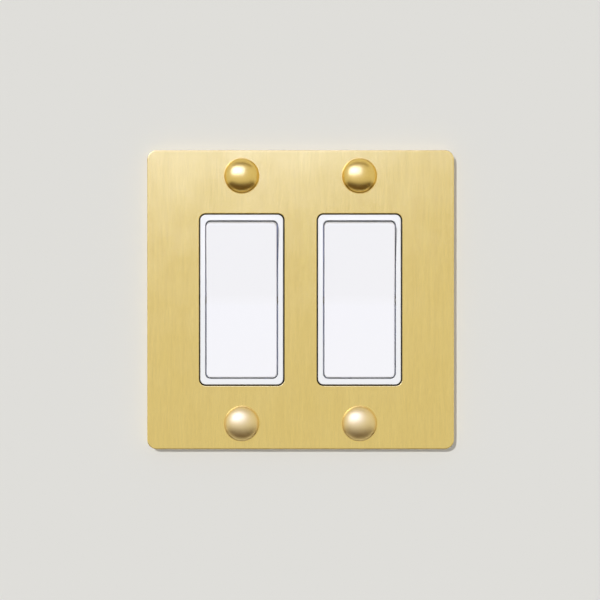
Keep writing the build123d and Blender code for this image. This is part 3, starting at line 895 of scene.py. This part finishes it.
@dataclass
class WallPlate(Assembly):
    """The brushed plate with its four domed screws.

    The edge at a dome's foot is rounded through one middle point, which lies a share of the edge's
    radius in from both sides. The tip's points are given by how far they lie in and before the end.
    """

    front: float = PLATE_FRONT
    screw_x: float = GANG_X
    screw_z: float = 48.42
    dome_r: float = 6.85
    dome_h: float = 4.7
    base: float = 0.9
    base_edge: float = 0.2
    edge_share: float = 0.3
    shank_r: float = 1.75
    length: float = 13.0
    neck: float = 0.4
    plain_end: float = 0.5
    tip: tuple[tuple[float, float], ...] = ((0.25, 0.35), (0.6, 0.0))
    turns: tuple[float, ...] = (0.3, 1.9, 3.7, 5.2)
    segments: int = 96
    dome_rows: int = 40

    def outline(self) -> np.ndarray:
        """Outline of a screw: an ellipse over a short straight base, then the shank with its blunt tip.

        Returns:
            Rows of (radius, y).
        """
        rise = np.linspace(0.0, np.pi / 2, self.dome_rows)
        rim, end = self.front - self.base, self.front + self.length
        dome = np.stack((self.dome_r * np.sin(rise), rim - (self.dome_h - self.base) * np.cos(rise)), axis=1)
        bevel = self.edge_share * self.base_edge
        foot = np.array(((self.dome_r, self.front - self.base / 2),
                         (self.dome_r, self.front - self.base_edge),
                         (self.dome_r - bevel, self.front - bevel),
                         (self.dome_r - self.base_edge, self.front),
                         (self.shank_r, self.front), (self.shank_r, self.front + self.neck)))
        tail = np.array([(self.shank_r - drawn_in, end - before) for drawn_in, before in self.tip]
                        + [(0.0, end)])
        return np.concatenate((dome, foot, tail))

    def build(self) -> None:
        """Dresses the plate and makes the screws."""
        self.dress("wall_plate", BRUSHED_BRASS)
        thread = Thread(self.shank_r, self.front + self.plain_end,
                        self.front + self.length - self.plain_end)
        screw = TurnedScrew(self.outline(), thread, self.segments)
        places = [(x, 0.0, z) for x in (-self.screw_x, self.screw_x) for z in (-self.screw_z, self.screw_z)]
        grids = [screw.grid(turn) + place for place, turn in zip(places, self.turns)]
        piece = surface_mesh("domed_plate_screws", grids)
        self.fit(piece, DOME_BRASS, "fixed", "dome_brass", "dome_screws")


@dataclass
class BoxFixings(Assembly):
    """The four captive screws for the wall box, with their washers."""

    screw_x: float = GANG_X
    screw_z: float = 41.67
    seat: float = STRAP_FRONT
    screw: MachineScrew = MachineScrew(SlottedHead(height=1.7, radius=3.5, edge=0.5), shank_r=1.75,
                                       length=19.3, neck_r=1.5, neck=2.3)

    def build(self) -> None:
        """Dresses the washers and makes the screws, a quarter turned about Y so that the slots lie level."""
        self.dress("box_screw_washers", RED_FIBRE)
        places = [(x, self.seat, z) for x in (-self.screw_x, self.screw_x)
                  for z in (-self.screw_z, self.screw_z)]
        level = [grid[..., [2, 1, 0]] * (1, 1, -1) for grid in self.screw.grids()]
        piece = surface_mesh("captive_box_screws", [grid + place for place in places for grid in level])
        self.fit(piece, SCREW_STEEL, "fixed", "screw_steel", "box_screws")


@dataclass
class Switch(Assembly):
    """One rocker switch behind its opening."""

    side: Side
    pivot_y: float = -3.4
    tilt: float = math.radians(4.0)
    spring_from: float = -1.0
    spring_to: float = 4.5
    spring_clear: float = 0.02
    plunger_travel: float = 1.2
    coil_r: float = 1.70
    wire_r: float = 0.25
    turns: float = 5.0
    coil_rows: int = 161
    wire_points: int = 11
    wire_place: Place = (13.2, 10.0, 13.0)
    wire_screw: MachineScrew = MachineScrew(SlottedHead(height=2.2, radius=3.7), shank_r=1.9, length=5.0)
    ground_place: Place = (-16.5, 4.5, -43.52)
    ground_screw: MachineScrew = MachineScrew(
        SlottedHead(height=2.2, radius=3.55, edge=0.3, corner_r=3.7), shank_r=1.75, length=6.0)
    plain: dict[str, Finish] = field(default_factory=lambda: {
        "rocker": WHITE_ROCKER, "bezel": WHITE_BEZEL, "strap": ZINC_STEEL, "plunger": NYLON,
        "rocking_contact": CONTACT_BRASS, "moving_contact_tip": CONTACT_SILVER,
        "common_terminal": CONTACT_BRASS, "fixed_terminal": CONTACT_BRASS,
        "fixed_contact_tip": CONTACT_SILVER, "housing_screws": SCREW_STEEL, "housing": HOUSING_PLASTIC})

    @property
    def x(self) -> float:
        """Centre of this switch across the plate."""
        return -GANG_X if self.side is Side.LEFT else GANG_X

    def coil(self) -> np.ndarray:
        """Surface of the plunger's spring.

        The wire's centre runs round the plunger's axis at the coil radius while it climbs from the bore's
        floor to the plunger. Its circle is spanned by the radial direction and the axis, and shrinks to a
        point at both ends.

        Returns:
            A grid of shape (rows, points, 3), turned with the rocker at rest.
        """
        steps = np.linspace(0.0, 1.0, self.coil_rows)
        margin = self.wire_r + self.spring_clear
        low, high = self.spring_from + margin, self.spring_to - margin
        turn = 2 * np.pi * self.turns * steps
        climb = low + (high - low) * steps
        thickness = np.full(self.coil_rows, self.wire_r)
        thickness[[0, -1]] = 0.0
        around = np.linspace(0.0, 2 * np.pi, self.wire_points)
        radial = self.coil_r + thickness[:, None] * np.cos(around)
        depth = climb[:, None] + thickness[:, None] * np.sin(around)
        across, height = radial * np.cos(turn)[:, None], radial * np.sin(turn)[:, None]
        cosine, sine = math.cos(self.tilt), math.sin(self.tilt)
        y = self.pivot_y + depth * cosine - height * sine
        z = depth * sine + height * cosine
        return np.stack((self.x + across, y, z), axis=-1)

    def wind_spring(self) -> None:
        """Makes the spring, with a mesh of its own; on the real switch it shortens along its axis as the
        plunger slides in.
        """
        name = self.side.value
        spring = surface_mesh(f"{name}_coil_spring", [self.coil()])
        self.fit(spring, SPRING_STEEL, f"{name}_rocker_body", "spring_steel", f"{name}_plunger_spring")
        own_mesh(spring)

    def drive_side_screws(self) -> None:
        """Makes the two wire screws, which enter towards -X, and the ground screw, towards +X.

        A screw about Y is laid along X by exchanging its axes: its own Y becomes X or -X, its Z becomes Y,
        and its X becomes Z or -Z.
        """
        name = self.side.value
        x, y, z = self.wire_place
        grids = [grid[..., [1, 2, 0]] * (-1, 1, -1) + (self.x + x, y, sign * z)
                 for sign in (-1, 1) for grid in self.wire_screw.grids()]
        wire = surface_mesh(f"{name}_slotted_wire_screws", grids)
        x, y, z = self.ground_place
        grids = [grid[..., [1, 2, 0]] + (self.x + x, y, z) for grid in self.ground_screw.grids()]
        ground = surface_mesh(f"{name}_hexagon_ground_screw", grids)
        self.fit(wire, TERMINAL_BRASS, "fixed", "terminal_screw_brass", f"{name}_terminal_screws")
        self.fit(ground, GREEN_DYE, "fixed", "green_screw", f"{name}_ground_screw")

    def build(self) -> None:
        """Dresses every node of this switch, winds its spring and makes its screws."""
        for part, finish in self.plain.items():
            self.dress(f"{self.side.value}_{part}", finish)
        self.wind_spring()
        self.drive_side_screws()


def matt(name: str, colour: Colour) -> bpy.types.Material:
    """Makes a matt material that shows from the front of a surface only.

    Args:
        name: Its name.
        colour: Its colour.

    Returns:
        The material.
    """
    material = bpy.data.materials.new(name)
    material.use_nodes = True
    material.node_tree.nodes.clear()
    make = NodeBuilder(material.node_tree)
    paint = make.add("BsdfDiffuse")
    make.feed(paint.inputs["Color"], colour)
    choice = make.add("MixShader")
    make.join(make.add("NewGeometry").outputs["Backfacing"], choice.inputs[0])
    make.join(paint.outputs[0], choice.inputs[1])
    make.join(make.add("BsdfTransparent").outputs[0], choice.inputs[2])
    make.join(choice.outputs[0], make.add("OutputMaterial").inputs["Surface"])
    return material


@dataclass(frozen=True)
class AreaLamp:
    """A rectangular soft light aimed at the middle of the plate, which gloss alone may show."""

    name: str
    place: Place
    size: tuple[float, float]
    power: float
    colour: Colour = (1.0, 1.0, 1.0)
    gloss_only: bool = False

    def build(self) -> None:
        """Adds the lamp."""
        data = bpy.data.lights.new(self.name, "AREA")
        data.shape = "RECTANGLE"
        data.size, data.size_y = self.size
        data.energy = self.power
        data.color = self.colour
        lamp = place_in_scene(self.name, data)
        lamp.location = self.place
        lamp.rotation_euler = (-lamp.location).to_track_quat("-Z", "Y").to_euler()
        lamp.visible_diffuse = not self.gloss_only
        log.info("placed %s", self.name)


@dataclass(frozen=True)
class DistantLamp:
    """A distant lamp that gloss does not show, aimed from a place at the middle of the plate."""

    name: str
    place: Place
    strength: float
    spread: float = math.radians(1.2)

    def build(self) -> None:
        """Adds the lamp."""
        data = bpy.data.lights.new(self.name, "SUN")
        data.energy = self.strength
        data.angle = self.spread
        lamp = place_in_scene(self.name, data)
        lamp.location = self.place
        lamp.rotation_euler = (-lamp.location).to_track_quat("-Z", "Y").to_euler()
        lamp.visible_glossy = False
        log.info("placed %s", self.name)


@dataclass(frozen=True)
class Card:
    """A level card in front of the wall that shows only in gloss and from one side.

    It reaches from its start to its end in depth, at a height above the middle of the plate. A card that
    faces down starts nearer to the wall.
    """

    name: str
    colour: Colour
    half_width: float
    height: float
    start: float
    end: float

    def build(self) -> None:
        """Adds the card."""
        mesh = bpy.data.meshes.new(self.name)
        corners = [(-self.half_width, self.start, self.height), (self.half_width, self.start, self.height),
                   (self.half_width, self.end, self.height), (-self.half_width, self.end, self.height)]
        mesh.from_pydata(corners, [], [(0, 1, 2, 3)])
        mesh.materials.append(matt(self.name, self.colour))
        card = place_in_scene(self.name, mesh)
        card.visible_camera = card.visible_diffuse = card.visible_shadow = False
        card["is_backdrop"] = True
        log.info("placed %s", self.name)


# The key comes from the upper left, at one angle across and up.
KEY_ANGLE = math.radians(14.4)
KEY_SLOPE = math.tan(KEY_ANGLE)

LAMPS = (
    DistantLamp("key", (-KEY_SLOPE, -1.0, KEY_SLOPE), 1.88),
    DistantLamp("front", (0.0, -1.0, 0.0), 0.72),
    AreaLamp("window", (-0.385, -0.819, 0.425), (0.13, 0.34), 0.75, (1.0, 0.93, 0.60), gloss_only=True),
    AreaLamp("panel", (-0.30, -0.86, 0.415), (0.90, 0.50), 9.0, (0.224, 0.315, 1.0), gloss_only=True),
    AreaLamp("rear_fill_left", (-0.7, 0.8, 0.5), (0.6, 0.6), 1.6),
    AreaLamp("rear_fill_right", (0.7, 0.8, 0.5), (0.6, 0.6), 1.6),
)

CARDS = (
    Card("low_card", (0.17, 0.105, 0.030), 1.0, -0.45, -0.92, -0.02),
    Card("high_card", (0.42, 0.31, 0.14), 0.27, 0.32, -0.12, -0.23),
)


@dataclass
class Studio:
    """The wall, the light and the camera.

    Its sizes are in metres, with the sensor's width in millimetres, and the mouth is given by its half
    width and half height.
    """

    wall_colour: Colour = srgb(219, 218, 214)
    wall_depth: float = 0.0003
    wall_half: float = 3.0
    mouth: tuple[float, float] = (0.0585, 0.0570)
    # Painted shade: the near-black of the sheet in the wall box's mouth.
    mouth_shade_colour: Colour = (0.03, 0.03, 0.03)
    background: Colour = srgb(223, 222, 218)
    ambient: Colour = (0.25, 0.25, 0.25)
    camera_distance: float = 0.85
    camera_offset: tuple[float, float] = (-0.00023, -0.00016)
    seen_width: float = 0.2346
    sensor_width: float = 36.0
    clip: tuple[float, float] = (0.01, 20.0)

    def build(self) -> None:
        """Builds the whole studio."""
        self.build_wall()
        self.build_world()
        for piece in LAMPS + CARDS:
            piece.build()
        self.build_camera()

    def build_wall(self) -> None:
        """A pale painted wall seen only from the room, and a near-black sheet of painted shade in the mouth
        of the wall box behind the plate, where the gaps look into the shaded box.

        Metal does not show the mouth, so that the backs of the plate and the straps reflect the room.
        """
        (half_w, half_h), far = self.mouth, self.wall_half
        inner = [(-half_w, -half_h), (half_w, -half_h), (half_w, half_h), (-half_w, half_h)]
        outer = [(-far, -far), (far, -far), (far, far), (-far, far)]
        ring = [(i, (i + 1) % 4, 4 + (i + 1) % 4, 4 + i) for i in range(4)]
        self.sheet("wall", self.wall_colour, outer + inner, ring)
        # The mouth is a near-black sheet of painted shade, which the camera sees through the gaps.
        mouth = self.sheet("box_mouth_shade", self.mouth_shade_colour, inner, [(0, 1, 2, 3)])
        mouth.visible_glossy = False

    def sheet(self, name: str, colour: Colour, places: list[tuple[float, float]],
              faces: list[tuple[int, int, int, int]]) -> bpy.types.Object:
        """Adds a flat sheet in the plane of the wall that shows from the room only.

        Args:
            name: Its name.
            colour: Its colour.
            places: Its corners, across and up.
            faces: Its faces.

        Returns:
            The sheet.
        """
        mesh = bpy.data.meshes.new(name)
        mesh.from_pydata([(x, self.wall_depth, z) for x, z in places], [], faces)
        mesh.materials.append(matt(name, colour))
        sheet = place_in_scene(name, mesh)
        sheet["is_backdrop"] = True
        log.info("hung %s", name)
        return sheet

    def build_world(self) -> None:
        """A pale room for the camera and for reflections, and plain light for everything else."""
        world = bpy.data.worlds.new("room")
        world.use_nodes = True
        world.node_tree.nodes.clear()
        make = NodeBuilder(world.node_tree)
        path = make.add("LightPath")
        seen = make.math("ADD", path.outputs["Is Camera Ray"], path.outputs["Is Glossy Ray"])
        seen = make.math("MINIMUM", make.math("ADD", seen, path.outputs["Is Transmission Ray"]), 1.0)
        room = make.add("Background")
        make.join(make.tint(self.ambient, self.background, seen), room.inputs["Color"])
        make.join(room.outputs[0], make.add("OutputWorld").inputs["Surface"])
        bpy.context.scene.world = world
        log.info("lit the room")

    def build_camera(self) -> None:
        """A long lens straight in front of the plate."""
        data = bpy.data.cameras.new("camera")
        data.sensor_width = self.sensor_width
        data.lens = self.sensor_width * self.camera_distance / self.seen_width
        data.clip_start, data.clip_end = self.clip
        camera = place_in_scene("camera", data)
        across, up = self.camera_offset
        camera.location = (across, PLATE_FRONT * MM - self.camera_distance, up)
        camera.rotation_euler = (math.pi / 2, 0.0, 0.0)
        bpy.context.scene.camera = camera
        log.info("set the camera")


def corners() -> list[list[float]]:
    """Returns the lowest and highest corner of what shows, as plain lists."""
    return [[float(value) for value in corner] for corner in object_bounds()]


def main() -> None:
    """Builds the sub-assemblies in order."""
    logging.basicConfig(level=logging.INFO, format="%(name)s: %(message)s")
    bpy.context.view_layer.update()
    bpy.context.scene.view_settings.view_transform = "Standard"
    paint = PaintShop()
    WallPlate(paint).build()
    BoxFixings(paint).build()
    for side in Side:
        Switch(paint, side).build()
    Studio().build()


if __name__ == "__main__":
    main()
